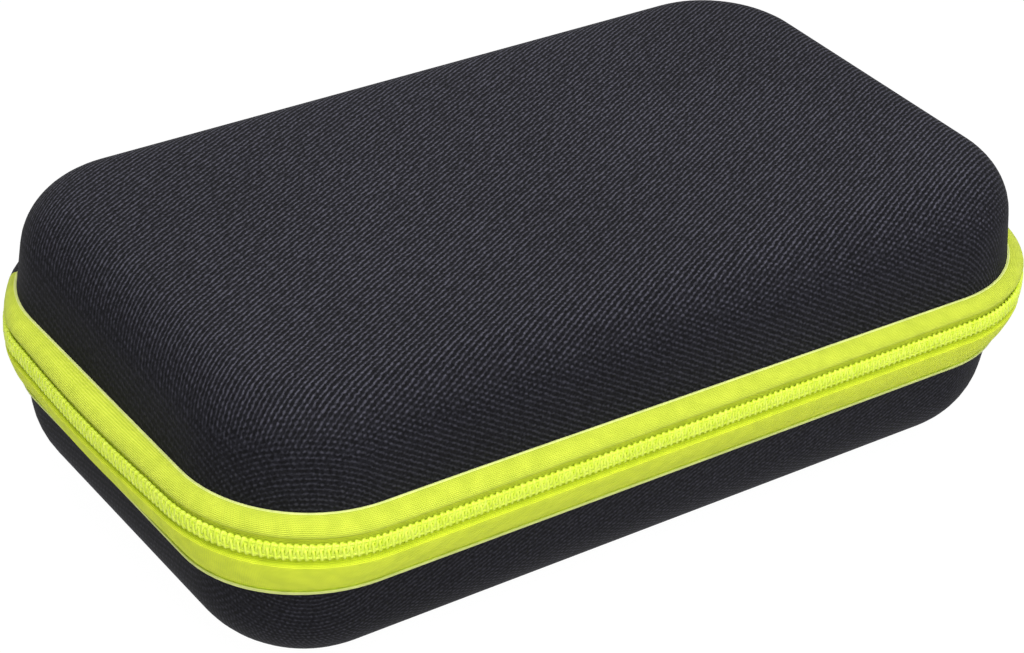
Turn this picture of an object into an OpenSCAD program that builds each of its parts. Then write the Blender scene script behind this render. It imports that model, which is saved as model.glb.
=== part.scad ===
// Hard zip case for an electric shaver: two moulded shells joined by a cloth hinge
// and a coil zip that runs round the left, front and right sides.
// The frame stands on the underside: X runs along the case, -Y is the front, +Z is up.

/* [Case] */
// Length of the shells at the rim
case_len = 230; // [212:1:280]
// Width of the shells at the rim
case_wid = 134; // [124:1:170]
// Plan radius of the four corners
corner_r = 32; // [30:1:38]
// Gap between the two closed rims
rim_gap = 0.1; // [0.05:0.05:0.4]

/* [Lid shell] */
// Height of the lid above the parting plane
lid_h = 32.5; // [30:0.5:60]
// Radius of the edge round the top
lid_edge_r = 15; // [10:0.5:18]
// Lean of the lid walls in degrees
lid_lean = 6; // [0:0.5:8]
// Slope of the crowned border of the top in degrees
lid_crown = 3; // [0:0.5:5]

/* [Base shell] */
// Depth of the base below the parting plane
base_h = 43; // [39:0.5:60]
// Radius of the edge round the underside
base_edge_r = 23; // [14:0.5:24]
// Lean of the base walls in degrees
base_lean = 8; // [0:0.5:9]

/* [Wall layers] */
// Woven outer cover
cover_t = 0.8; // [0.5:0.1:1.2]
// Moulded foam shell
foam_t = 3.6; // [2.5:0.1:4.5]
// Knitted lining
lining_t = 0.6; // [0.4:0.1:1]
// Bound edge of each rim, thickness of its tape
binding_t = 0.5; // [0.3:0.1:0.8]
// Depth of the bound edge inside the wall
binding_h = 5.5; // [3:0.5:6]

/* [Zip] */
// Reach of the zip band above the parting plane
band_top = 7.4; // [6.4:0.1:12]
// Reach of the zip band below the parting plane
band_bottom = 13.4; // [8:0.1:15]
// How far the rolled tape stands out from the rim
band_out = 3.7; // [3.4:0.1:5]
// Thickness of the zip tape
tape_t = 0.7; // [0.5:0.05:0.9]
// Space behind the flat tape for the back plate of a slider
tape_back = 1.9; // [1.8:0.1:2.4]
// Width of the closed coil chain
chain_w = 4.6; // [4:0.2:6]
// Height of the coil on its tape
coil_t = 1.7; // [1.4:0.1:2.2]
// Groove between the coil and the rolled tape
groove_w = 1.1; // [1:0.1:1.8]
// Turn of the zip round each back corner in degrees
zip_wrap = 38; // [20:1:60]
// Turn taken by the end stop of each coil in degrees
stop_turn = 3.5; // [2:0.5:6]

/* [Sliders] */
// Length of a slider body
slider_len = 14; // [12:0.5:15]
// Gap between the noses of the two closed sliders
nose_gap = 0.6; // [0.4:0.1:2]
// Thickness of each slider plate
plate_t = 1.2; // [1:0.1:1.3]
// Room between a slider and the chain that it rides on
slide_room = 0.2; // [0.15:0.05:0.25]
// Width of the side lips that hold the coil
lip_w = 0.7; // [0.5:0.05:0.75]
// Width of the crown over the pull's pin
crown_w = 2.4; // [2:0.1:3]
// Diameter of the pull's pin
pin_d = 1.4; // [1.2:0.1:1.6]
// Length of a pull from its pin to the end of its grip
pull_len = 26; // [22:0.5:27]
// Width of a pull's metal link
link_w = 6.4; // [6:0.2:7]
// Width of the moulded grip
grip_w = 7.6; // [7:0.2:9]
// Thickness of the moulded grip
grip_t = 2.2; // [1.8:0.1:2.4]

/* [Foam tray] */
// Depth of the tray's top below the parting plane
tray_drop = 8; // [7:0.5:12]
// Depth of the shaver bay
bay_depth = 20; // [14:0.5:24]
// Depth of the small bays
small_depth = 17; // [10:0.5:23]
// Foam left between two bays
bay_web = 6; // [4:0.5:8]
// Foam left between a bay and the case wall at the tray's top
bay_margin = 13; // [13:0.5:18]
// Width of the shaver bay at the shaver's head
head_w = 57; // [50:1:62]
// Width of the shaver bay at the handle
handle_w = 48; // [40:1:54]
// Length of the wide end of the shaver bay
head_len = 62; // [50:1:80]
// Width of the slot for the cleaning brush
brush_w = 10; // [8:0.5:14]
// Length of the charger bay
charger_len = 68; // [55:1:75]
// Length of the bay for spare heads
heads_len = 58; // [50:1:65]
// Radius of the finger dips
dip_r = 11; // [8:0.5:13]
// Width of the elastic strap over the shaver
strap_w = 22; // [16:1:30]
// Thickness of the elastic strap
strap_t = 1.2; // [0.8:0.1:1.6]

/* [Lid pocket] */
// Height of the net above the parting plane
net_z = 10; // [8:0.5:14]
// Thickness of the net
net_t = 0.6; // [0.4:0.1:1]
// Pitch of the net's holes
net_pitch = 8; // [7.6:0.2:12]
// Width of the net's strands
strand_w = 1.3; // [1:0.1:2]
// Width of the sewn border of the net
border_w = 7; // [5:0.5:9]
// Thickness of the sewn border
border_t = 0.9; // [0.7:0.1:1.4]
// Width of the elastic hem at the pocket's mouth
hem_w = 10; // [8:0.5:12]
// Thickness of the elastic hem
hem_t = 1.8; // [1.4:0.1:2.4]
// Distance of the hem from the middle of the case
hem_y = 27; // [20:1:27]

/* [Hidden] */
$fn = 96;

black = [0.12, 0.12, 0.14];
grey = [0.35, 0.36, 0.38];
lime = [0.78, 0.9, 0.2];
steel = [0.72, 0.72, 0.74];

// Distances of the corner centres from the middle of the case
centre_x = case_len / 2 - corner_r;
centre_y = case_wid / 2 - corner_r;
// Each shell as height, edge radius, lean, crown and reach of its zip band
LID = [lid_h, lid_edge_r, lid_lean, lid_crown, band_top];
BASE = [base_h, base_edge_r, base_lean, 0, band_bottom];
core_in = cover_t + foam_t;
wall_in = core_in + lining_t;
rim_z = rim_gap / 2 + binding_t;
arc_n = 14;
roll_n = 10;

// Zip section, outward from the rim
chain_h = chain_w / 2;
groove_z = chain_h + groove_w;
tape_front = tape_back + tape_t;
coil_front = tape_front + coil_t;
roll_step = 0.9;
tape_edge = 1.5;
coil_edge = 0.05;
brim_z = groove_z + 0.25;

// Slider section, outward from the rim
back_plate = tape_back - slide_room - 0.1 - plate_t;
front_plate = coil_front + slide_room;
slider_top = front_plate + plate_t;
slider_y = slider_len / 2 + nose_gap / 2;
lip_in = chain_h + slide_room;
lip_out = lip_in + lip_w;
post_h = 1.3;
pin_x = slider_top + 0.25 + pin_d / 2;
crown_in = pin_x + pin_d / 2 + 0.1;
crown_t = 1.1;
crown_half = 3.6;
arm_gap = 0.4;
link_t = pin_d - 0.2;
link_tail = 12.5;
grip_start = 9;

// Tray heights above the floor, and the room between the bays' outer walls
tray_top = base_h - tray_drop;
room_x = centre_x + wall_x(wall_in, tray_drop, BASE) - bay_margin;
room_y = centre_y + wall_x(wall_in, tray_drop, BASE) - bay_margin;
row_y = -room_y + head_w + bay_web;
bay_r = 9;

net_half_x = centre_x + wall_x(wall_in, net_z, LID) - border_w;
net_half_y = centre_y + wall_x(wall_in, net_z, LID) - border_w;
net_r = wall_x(wall_in, net_z, LID) - border_w;

// A shell wall seen in section: x runs outward from a corner centre, z away from the rim.
// Its face at depth o below the outside leans in, rounds over and ends at x = 0.
function wall_x(o, z, s) = corner_r - o / cos(s[2]) - z * tan(s[2]);
function edge_centre(s) =
    let (a = corner_r * cos(s[2]) - s[1], b = s[0] * cos(s[3]) - s[1], d = cos(s[2] + s[3]))
    [(a * cos(s[3]) - b * sin(s[2])) / d, (b * cos(s[2]) - a * sin(s[3])) / d];
function arc(c, r, from, to, n) =
    [for (i = [0:n]) let (t = from + (to - from) * i / n) c + r * [cos(t), sin(t)]];
function face(o, z, s) = concat(
    [[wall_x(o, z, s), z]],
    arc(edge_centre(s), s[1] - o, s[2], 90 - s[3], arc_n),
    [[0, s[0] - o / cos(s[3])]]);
function reversed(p) = [for (i = [len(p) - 1:-1:0]) p[i]];

// The rolled tape is a quarter ellipse from the groove up to the wall of its shell
function roll(in, z, s) =
    let (h = s[4] - in, w = wall_x(0, h, s), out = corner_r + band_out - in)
    [for (i = [0:roll_n]) let (t = 90 * i / roll_n)
        [w + (out - w) * cos(t), z + (h - z) * sin(t)]];
function tape_outside(s) = concat(
    [[corner_r + tape_front, tape_edge], [corner_r + tape_front, groove_z],
        [corner_r + band_out - tape_t / 3, groove_z + roll_step / 2]],
    roll(0, groove_z + roll_step, s));
function tape_inside(s) = concat(
    [[corner_r + tape_back, brim_z],
        [corner_r + band_out - tape_t * 4 / 3, brim_z + roll_step / 2]],
    roll(tape_t, brim_z + roll_step, s));
function rounded(x0, x1, y0, y1, r) = concat(
    arc([x1 - r, y1 - r], r, 0, 90, 6), arc([x0 + r, y1 - r], r, 90, 180, 6),
    arc([x0 + r, y0 + r], r, 180, 270, 6), arc([x1 - r, y0 + r], r, 270, 360, 6));

// Sweeps of a section round the case: a corner by its number, a straight by its side
module corner(k, from, turn) {
    sx = k == 0 || k == 3 ? 1 : -1;
    sy = k < 2 ? 1 : -1;
    translate([sx * centre_x, sy * centre_y, 0])
        rotate([0, 0, 90 * k + from])
            rotate_extrude(angle = turn) children();
}
module straight(k) {
    out = k % 2 == 0 ? centre_x : centre_y;
    half = k % 2 == 0 ? centre_y : centre_x;
    rotate([0, 0, 90 * k])
        translate([out, half, 0])
            rotate([90, 0, 0]) linear_extrude(2 * half) children();
}
module all_round() {
    for (k = [0:3]) {
        corner(k, 0, 90) children();
        straight(k) children();
    }
}
module zip_round(turn) {
    for (m = [0, 1]) mirror([m, 0, 0]) corner(0, 0, turn) children();
    corner(2, 0, 90) children();
    corner(3, 0, 90) children();
    for (k = [0, 2, 3]) straight(k) children();
}
module hinge_round() {
    for (m = [0, 1]) mirror([m, 0, 0]) corner(1, 0, 90 - zip_wrap) children();
    straight(1) children();
}
module in_lid() { translate([0, 0, base_h]) children(); }
module in_base() { translate([0, 0, base_h]) mirror([0, 0, 1]) children(); }

// One layer of a shell: its swept wall and the flat panel between the corner centres
module panel(o1, o2, s) {
    z = s[0] - o2 / cos(s[3]);
    translate([-centre_x, -centre_y, z])
        cube([2 * centre_x, 2 * centre_y, (o2 - o1) / cos(s[3])]);
}
module layer(o1, o2, z, s) {
    all_round() polygon(concat(face(o1, z, s), reversed(face(o2, z, s))));
    panel(o1, o2, s);
}
module core(s) {
    all_round() polygon(concat(
        [[corner_r, rim_z], [corner_r, brim_z]],
        tape_inside(s),
        face(cover_t, s[4] - tape_t, s),
        reversed(face(core_in, rim_z, s))));
    panel(cover_t, core_in, s);
}
module lining(s) { layer(core_in, wall_in, rim_z, s); }
module cover(s) { layer(0, cover_t, s[4] - tape_t, s); }
module binding(s) {
    e = rim_gap / 2;
    all_round() polygon([
        [corner_r, e], [corner_r, rim_z], [wall_x(wall_in, rim_z, s), rim_z],
        [wall_x(wall_in, binding_h, s), binding_h],
        [wall_x(wall_in + binding_t, binding_h, s), binding_h],
        [wall_x(wall_in + binding_t, e, s), e]]);
}
module zip_tape(s) {
    zip_round(zip_wrap) polygon(concat(
        tape_outside(s), reversed(tape_inside(s)), [[corner_r + tape_back, tape_edge]]));
}
module coil_row() {
    r = coil_t * 0.7;
    x = corner_r + tape_front;
    difference() {
        zip_round(zip_wrap - stop_turn - 1) polygon(concat(
            [[x, coil_edge], [x + coil_t, coil_edge]],
            arc([x + coil_t - r, chain_h - r], r, 0, 90, 5), [[x, chain_h]]));
        // the row parts round the posts of the two sliders
        translate([case_len / 2, 0, 0])
            rotate([90, 0, 90]) linear_extrude(coil_front + 1)
                polygon([[-slider_len, 0], [-slider_len * 0.7, post_h + slide_room],
                    [slider_len * 0.7, post_h + slide_room], [slider_len, 0],
                    [slider_len, -1], [-slider_len, -1]]);
    }
}
module coil_stops() {
    x = corner_r + tape_front;
    for (m = [0, 1])
        mirror([m, 0, 0]) corner(0, zip_wrap - stop_turn - 1, stop_turn)
            polygon([[x, coil_edge + 0.1], [x + coil_t + 0.15, coil_edge + 0.1],
                [x + coil_t + 0.15, chain_h], [x + coil_t - 0.4, chain_h + 0.3], [x, chain_h + 0.3]]);
}

module base_cover() { color(black) in_base() cover(BASE); }
module base_core() { color(black) in_base() core(BASE); }
module base_lining() { color(grey) in_base() lining(BASE); }
module base_binding() { color(black) in_base() binding(BASE); }
module base_zip_tape() { color(lime) in_base() zip_tape(BASE); }
module base_zip_coil() { color(lime) in_base() coil_row(); }
module base_zip_stops() { color(lime) in_base() coil_stops(); }
module lid_cover() { color(black) in_lid() cover(LID); }
module lid_core() { color(black) in_lid() core(LID); }
module lid_lining() { color(grey) in_lid() lining(LID); }
module lid_binding() { color(black) in_lid() binding(LID); }
module lid_zip_tape() { color(lime) in_lid() zip_tape(LID); }
module lid_zip_coil() { color(lime) in_lid() coil_row(); }
module lid_zip_stops() { color(lime) in_lid() coil_stops(); }

// Cloth hinge: an outer strip over both brims and a tape across the gap inside it
function mirrored(p) = [for (i = [len(p) - 1:-1:0]) [p[i][0], -p[i][1]]];
module hinge_strip() {
    z = groove_z + roll_step;
    color(black) in_lid() hinge_round() polygon(concat(
        mirrored(roll(0, z, BASE)),
        roll(0, z, LID),
        reversed(tape_inside(LID)),
        reversed(mirrored(tape_inside(BASE)))));
}
module hinge_inner_tape() {
    x = corner_r + tape_back;
    color(black) in_lid() hinge_round() polygon([
        [x - tape_t, -brim_z], [x, -brim_z], [x, brim_z], [x - tape_t, brim_z]]);
}

// Tray: the inside of the base filled with foam, with a bay for each thing that it holds
module bay(x0, x1, y0, y1, deep) {
    translate([0, 0, tray_top - deep])
        linear_extrude(deep + 1) polygon(rounded(x0, x1, y0, y1, bay_r));
}
module finger_dip(x, y) {
    translate([x, y - dip_r, tray_top + 2])
        rotate([-90, 0, 0]) cylinder(r = dip_r, h = 2 * dip_r);
}
module foam_tray() {
    shaver_end = room_x - brush_w - bay_web;
    handle_y = -room_y + head_w / 2;
    heads_x = -room_x + charger_len + bay_web;
    color(grey) difference() {
        in_base() {
            all_round() polygon(concat([[0, tray_drop]], face(wall_in, tray_drop, BASE)));
            translate([-centre_x, -centre_y, tray_drop])
                cube([2 * centre_x, 2 * centre_y, base_h - wall_in - tray_drop]);
        }
        bay(-room_x, -room_x + head_len, -room_y, -room_y + head_w, bay_depth);
        bay(-room_x + head_len - 2 * bay_r, shaver_end,
            handle_y - handle_w / 2, handle_y + handle_w / 2, bay_depth);
        translate([0, 0, tray_top - bay_depth]) linear_extrude(bay_depth + 1)
            polygon(rounded(room_x - brush_w, room_x, -room_y, room_y, brush_w / 2 - 0.1));
        bay(-room_x, -room_x + charger_len, row_y, room_y, small_depth);
        bay(heads_x, heads_x + heads_len, row_y, room_y, small_depth);
        bay(heads_x + heads_len + bay_web, shaver_end, row_y, room_y, small_depth);
        finger_dip(-room_x + head_len + dip_r, row_y - bay_web);
        finger_dip(shaver_end - 2 * dip_r - bay_r, row_y - bay_web);
    }
}
strap_x = -room_x + head_len + 3 * dip_r + strap_w / 2;
strap_y0 = -room_y - bay_web;
strap_y1 = row_y;
module shaver_strap() {
    color(black) translate([strap_x - strap_w / 2, strap_y0, tray_top])
        cube([strap_w, strap_y1 - strap_y0, strap_t]);
}
module strap_tabs() {
    color(grey) for (y = [strap_y0, strap_y1 - bay_web])
        translate([0, 0, tray_top + strap_t]) linear_extrude(0.8)
            polygon(rounded(strap_x - strap_w / 2, strap_x + strap_w / 2, y, y + bay_web, 1));
}

// Net pocket in the lid, sewn round three sides with an elastic hem at its mouth
module pocket_border() {
    color(black) in_lid() difference() {
        all_round() polygon([
            [net_r, net_z], [wall_x(wall_in, net_z, LID), net_z],
            [wall_x(wall_in, net_z + border_t, LID), net_z + border_t], [net_r, net_z + border_t]]);
        translate([-case_len / 2, hem_y, net_z - 1]) cube([case_len, case_wid, border_t + 2]);
    }
}
module pocket_hem() {
    half = centre_x + wall_x(wall_in, net_z + hem_t, LID);
    color(black) in_lid() translate([-half, hem_y, net_z])
        cube([2 * half, hem_w, hem_t]);
}
function in_net(x, y) =
    let (u = max(0, abs(x) - net_half_x + net_r), v = max(0, abs(y) - net_half_y + net_r))
    norm([u, v]) < net_r - strand_w;
module pocket_net() {
    hole = net_pitch - strand_w;
    nx = floor(net_half_x / net_pitch);
    ny = floor((hem_y + net_half_y) / net_pitch);
    color(black) in_lid() translate([0, 0, net_z]) linear_extrude(net_t) difference() {
        intersection() {
            polygon(rounded(-net_half_x, net_half_x, -net_half_y, net_half_y, net_r));
            translate([-case_len, -case_wid]) square([2 * case_len, case_wid + hem_y]);
        }
        for (i = [-nx:nx], j = [0:ny - 1]) {
            x = i * net_pitch;
            y = hem_y - strand_w - hole / 2 - j * net_pitch;
            if (in_net(abs(x) + hole / 2, -abs(y - hole / 2)))
                translate([x, y]) square(hole, center = true);
        }
    }
}

// Zip slider on the right side, nose towards +Y, built outward from the rim
module outward(x, t) {
    translate([x, 0, 0]) rotate([90, 0, 90]) linear_extrude(t) children();
}
function plate(nose, tail) = let (l = slider_len / 2) [
    [-l, tail - 1], [-l + 1, tail], [0, tail], [l - 3.5, nose], [l - 1, nose], [l, nose - 1.6],
    [l, 1.6 - nose], [l - 1, -nose], [l - 3.5, -nose], [0, -tail], [-l + 1, -tail], [-l, 1 - tail]];
module slider_body() {
    l = slider_len / 2;
    outward(back_plate, plate_t) polygon(plate(lip_out, lip_out - 0.3));
    outward(front_plate, plate_t) polygon(plate(lip_out + 0.6, lip_out));
    // nose post that parts the two rows of the chain
    outward(back_plate + plate_t / 2, front_plate - back_plate)
        polygon([[l - 5, 0], [l - 3, post_h], [l - 1, post_h * 0.8], [l - 0.6, 0],
            [l - 1, -post_h * 0.8], [l - 3, -post_h]]);
    // side lips that hold the coil
    for (z = [lip_in, -lip_out])
        outward(tape_front + slide_room, front_plate - tape_front)
            translate([-l + 0.5, z]) square([slider_len - 2, lip_w]);
    // crown that holds the pull's pin
    translate([0, 0, -crown_w / 2]) linear_extrude(crown_w) difference() {
        polygon(concat([[slider_top - 0.3, -crown_half]],
            arc([crown_in + crown_t - 2, -crown_half + 2], 2, 270, 360, 5),
            arc([crown_in + crown_t - 2, crown_half - 2], 2, 0, 90, 5),
            [[slider_top - 0.3, crown_half]]));
        translate([slider_top, -crown_half + 1.3]) square([crown_in - slider_top, 2 * crown_half - 2.6]);
    }
}
module link() {
    pin_r = pin_d / 2;
    half = crown_w / 2 + arm_gap;
    translate([pin_x, 0, -link_w / 2]) cylinder(d = pin_d, h = link_w);
    outward(pin_x - link_t / 2, link_t) difference() {
        polygon([[0, link_w / 2], [0, -link_w / 2], [-grip_start, -link_w / 2 + 0.3],
            [-link_tail, -link_w / 2 + 1], [-link_tail, link_w / 2 - 1], [-grip_start, link_w / 2 - 0.3]]);
        // window round the crown, open to the bare pin
        polygon([[pin_r, half], [pin_r, -half],
            [2 - grip_start, -half], [2 - grip_start, half]]);
    }
}
module grip() {
    difference() {
        outward(pin_x - grip_t / 2, grip_t)
            polygon(concat(
                [[-grip_start, grip_w / 2 - 0.8], [-grip_start, 0.8 - grip_w / 2]],
                arc([-pull_len + 3, 3 - grip_w / 2], 3, 270, 180, 5),
                arc([-pull_len + 3, grip_w / 2 - 3], 3, 180, 90, 5)));
        link();
        // finger grooves across both faces
        for (i = [0:3], x = [-1, 1])
            translate([pin_x + x * (grip_t / 2 + 0.5), -grip_start - 5.5 - 2.4 * i, -grip_w])
                cylinder(r = 0.9, h = 2 * grip_w);
    }
}
module on_right(side) {
    translate([case_len / 2, -side * slider_y, base_h]) mirror([0, side < 0 ? 1 : 0, 0]) children();
}
module front_slider() { color(lime) on_right(1) slider_body(); }
module front_pull() { color(steel) on_right(1) link(); }
module front_grip() { color(lime) on_right(1) grip(); }
module rear_slider() { color(lime) on_right(-1) slider_body(); }
module rear_pull() { color(steel) on_right(-1) link(); }
module rear_grip() { color(lime) on_right(-1) grip(); }

base_cover();
base_core();
base_lining();
base_binding();
base_zip_tape();
base_zip_coil();
base_zip_stops();
foam_tray();
shaver_strap();
strap_tabs();
hinge_strip();
hinge_inner_tape();
lid_cover();
lid_core();
lid_lining();
lid_binding();
lid_zip_tape();
lid_zip_coil();
lid_zip_stops();
pocket_net();
pocket_hem();
pocket_border();
front_slider();
front_pull();
front_grip();
rear_slider();
rear_pull();
rear_grip();
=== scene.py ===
import math

import bmesh
import bpy
from mathutils import Matrix, Vector
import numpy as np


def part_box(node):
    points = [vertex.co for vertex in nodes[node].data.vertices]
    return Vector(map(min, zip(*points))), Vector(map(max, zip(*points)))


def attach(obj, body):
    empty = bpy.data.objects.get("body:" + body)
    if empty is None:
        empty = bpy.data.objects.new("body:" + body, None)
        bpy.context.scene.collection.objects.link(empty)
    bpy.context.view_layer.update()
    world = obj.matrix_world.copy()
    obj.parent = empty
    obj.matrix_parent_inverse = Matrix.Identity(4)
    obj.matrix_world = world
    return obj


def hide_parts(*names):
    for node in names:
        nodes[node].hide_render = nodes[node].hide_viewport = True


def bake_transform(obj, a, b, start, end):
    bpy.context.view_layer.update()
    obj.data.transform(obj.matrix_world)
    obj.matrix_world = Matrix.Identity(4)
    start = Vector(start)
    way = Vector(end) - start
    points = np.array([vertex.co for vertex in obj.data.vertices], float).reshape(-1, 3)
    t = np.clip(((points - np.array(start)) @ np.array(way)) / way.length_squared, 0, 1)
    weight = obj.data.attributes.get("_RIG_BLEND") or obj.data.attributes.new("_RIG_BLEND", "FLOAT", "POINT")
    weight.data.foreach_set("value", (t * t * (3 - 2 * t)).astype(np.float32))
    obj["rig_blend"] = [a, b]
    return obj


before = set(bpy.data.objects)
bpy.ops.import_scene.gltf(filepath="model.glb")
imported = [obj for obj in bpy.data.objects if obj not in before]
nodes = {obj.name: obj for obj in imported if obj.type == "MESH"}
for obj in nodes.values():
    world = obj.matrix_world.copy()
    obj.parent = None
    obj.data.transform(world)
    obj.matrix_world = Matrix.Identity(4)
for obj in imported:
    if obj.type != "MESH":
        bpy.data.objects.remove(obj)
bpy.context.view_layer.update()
mm = 0.001

# The case in plan, and the two shells in section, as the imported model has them
plan = dict(halfX=115 * mm, halfY=67 * mm, cornerRadius=32 * mm, parting=43 * mm,
            cornerSteps=18, runStep=6 * mm)
lidForm = dict(body="lid", up=1, height=32.5 * mm, edgeRadius=15 * mm, lean=6, crown=3,
               bandReach=7.4 * mm, flatness=0.15, selvedge=0.32 * mm, proud=-0.05 * mm, beadFrom=10)
baseForm = dict(body="base", up=-1, height=43 * mm, edgeRadius=23 * mm, lean=8, crown=0,
                bandReach=13.8 * mm, flatness=0.65, selvedge=0.68 * mm, proud=0.45 * mm, beadFrom=-20)
layers = dict(cover=0.8 * mm, core=4.4 * mm, wall=5.0 * mm, rim=0.55 * mm)
zipForm = dict(tapeBack=1.9 * mm, tapeThick=0.7 * mm, bandOut=3.7 * mm, chainHalf=2.3 * mm,
               groove=1.1 * mm, coilThick=1.45 * mm, tapeEdge=0.35 * mm, lipHeight=0.8 * mm,
               wallGap=0.35 * mm, loopPitch=1.62 * mm, wrap=38)  # wrap: degrees round each back corner
weldGap = 0.01 * mm
centreX = plan["halfX"] - plan["cornerRadius"]
centreY = plan["halfY"] - plan["cornerRadius"]
cornerCentres = [(centreX, centreY), (-centreX, centreY), (-centreX, -centreY), (centreX, -centreY)]

# Routes round the case: a start corner and angle, then turns about corners and straight runs
wrap = zipForm["wrap"]
zipRoute = (0, wrap, [("turn", 0, -wrap), ("run", 0, -2 * centreY), ("turn", 3, -90),
                      ("run", -2 * centreX, 0), ("turn", 2, -90), ("run", 0, 2 * centreY),
                      ("turn", 1, -wrap)])
fullRoute = (0, 90, [("turn", 0, -90), ("run", 0, -2 * centreY), ("turn", 3, -90),
                     ("run", -2 * centreX, 0), ("turn", 2, -90), ("run", 0, 2 * centreY),
                     ("turn", 1, -90), ("run", 2 * centreX, 0)])
hingeRoute = (1, 180 - wrap, [("turn", 1, wrap - 90), ("run", 2 * centreX, 0), ("turn", 0, wrap - 90)])


def limited(value):  # kept between 0 and 1
    return min(max(value, 0), 1)


def fuller(value, power):  # bulges a round form towards a square one
    return math.copysign(abs(value) ** power, value)


def wallAt(form, depth, z):  # distance of the wall from a corner's centre
    lean = math.radians(form["lean"])
    return plan["cornerRadius"] - depth / math.cos(lean) - z * math.tan(lean)


def skinSection(form, depth, fromZ, wallCuts=7, edgeCuts=13, topCuts=7):
    # up the wall, round the edge, and in over the crown to the corner's centre
    lean, crown = math.radians(form["lean"]), math.radians(form["crown"])
    a = plan["cornerRadius"] * math.cos(lean) - form["edgeRadius"]
    b = form["height"] * math.cos(crown) - form["edgeRadius"]
    edgeX = (a * math.cos(crown) - b * math.sin(lean)) / math.cos(lean + crown)
    edgeZ = (b * math.cos(lean) - a * math.sin(crown)) / math.cos(lean + crown)
    radius = form["edgeRadius"] - depth
    wallEnd = edgeZ + radius * math.sin(lean)
    points = []
    for i in range(wallCuts):
        z = fromZ + (wallEnd - fromZ) * i / wallCuts
        points.append((wallAt(form, depth, z), z))
    for i in range(edgeCuts + 1):
        t = lean + (math.pi / 2 - crown - lean) * i / edgeCuts
        points.append((edgeX + radius * math.cos(t), edgeZ + radius * math.sin(t)))
    lastX, lastZ = points[-1]
    for i in range(1, topCuts + 1):
        x = lastX * (1 - i / topCuts)
        points.append((x, lastZ + math.tan(crown) * (lastX - x * x / lastX) / 2))
    return points


def sweep(mesh, section, form, route, closed=False):
    # carries a section along a route with spins; keeps each point's place along the section
    across = mesh.verts.layers.float.get("across") or mesh.verts.layers.float.new("across")
    corner, angle, moves, *shift = route
    cx, cy = Vector(cornerCentres[corner]) + Vector(shift[0] if shift else (0, 0))
    turn = math.radians(angle)
    ring, length = [], 0
    for i, (x, z) in enumerate(section):
        if i:
            length += math.dist(section[i - 1], (x, z))
        vert = mesh.verts.new((cx + x * math.cos(turn), cy + x * math.sin(turn),
                               plan["parting"] + form["up"] * z))
        vert[across] = length
        ring.append(vert)
    pairs = list(zip(ring, ring[1:])) + ([(ring[-1], ring[0])] if closed else [])
    first = last = ring + [mesh.edges.new(pair) for pair in pairs]
    for kind, a, b in moves:
        if kind == "turn":
            steps = max(2, round(plan["cornerSteps"] * abs(b) / 90))
            made = bmesh.ops.spin(mesh, geom=last, cent=(*cornerCentres[a], 0), axis=(0, 0, 1),
                                  dvec=(0, 0, 0), angle=math.radians(b), steps=steps)
        else:
            steps = max(2, round(math.hypot(a, b) / plan["runStep"]))
            made = bmesh.ops.spin(mesh, geom=last, cent=(0, 0, 0), axis=(0, 0, 1),
                                  dvec=(a / steps, b / steps, 0), angle=0, steps=steps)
        last = made["geom_last"]
    return first, last


def closeEnds(mesh, *ends):  # a face over each end of a swept band
    for end in ends:
        bmesh.ops.contextual_create(mesh, geom=[g for g in end if isinstance(g, bmesh.types.BMEdge)])


def closeTop(mesh, form, rings=1):  # fills the flat panel between the corner centres
    rim = [e for e in mesh.edges if e.is_boundary]
    heights = sorted({round(e.verts[0].co.z, 5) for e in rim}, reverse=form["up"] > 0)[:rings]
    for height in heights:
        ring = [e for e in rim if all(abs(v.co.z - height) < 2 * weldGap for v in e.verts)]
        bmesh.ops.contextual_create(mesh, geom=ring)


def cornerFoot(place):  # the nearest point of the rectangle between the corner centres
    return Vector((min(max(place.x, -centreX), centreX), min(max(place.y, -centreY), centreY), place.z))


# The band isn't the same all round: thinner at the back, narrower to the right, fuller on the left
bandShape = dict(backTurn=34, backThinning=0.5, bow=1.5 * mm, bowHalf=45 * mm, leftDrop=1.7 * mm,
                 narrowFrom=-60 * mm, narrowOver=170 * mm, narrowing=0.42)


def bandPlace(place):  # where a point of the plain band really lies: thinner at the back, bowed out on the left
    foot = cornerFoot(place)
    out = place - foot
    if out.length < plan["cornerRadius"]:
        return place
    reach = out.length - plan["cornerRadius"]
    if out.y > 1e-6:
        share = limited(math.degrees(math.atan2(out.y, abs(out.x))) / bandShape["backTurn"])
        reach *= 1 - bandShape["backThinning"] * share * share * (3 - 2 * share)
    leftward = max(0, -out.normalized().x) ** 3 * max(0, 1 - (place.y / bandShape["bowHalf"]) ** 2) ** 2
    reach += bandShape["bow"] * leftward * min(reach / zipForm["tapeBack"], 1)
    return foot + out.normalized() * (plan["cornerRadius"] + reach)


def alongRoute(x, y):  # distance along the zip's route, from its start at the back right corner
    radius = plan["cornerRadius"] + zipForm["bandOut"]
    turn = math.degrees(math.atan2(max(abs(y) - centreY, 0), max(abs(x) - centreX, 0)))
    quarter = math.radians(90) * radius
    if x > centreX and y > centreY:
        return -math.radians(turn) * radius
    if x > centreX and y >= -centreY:
        return centreY - y
    if x > centreX:
        return 2 * centreY + math.radians(turn) * radius
    if y < -centreY and x >= -centreX:
        return 2 * centreY + quarter + centreX - x
    if y < -centreY:
        return 2 * centreY + 2 * centreX + 2 * quarter - math.radians(turn) * radius
    if x < -centreX and y <= centreY:
        return 2 * centreY + 2 * centreX + 2 * quarter + centreY + y
    if x < -centreX:
        return 4 * centreY + 2 * centreX + 2 * quarter + math.radians(turn) * radius
    return x  # along the back


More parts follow.
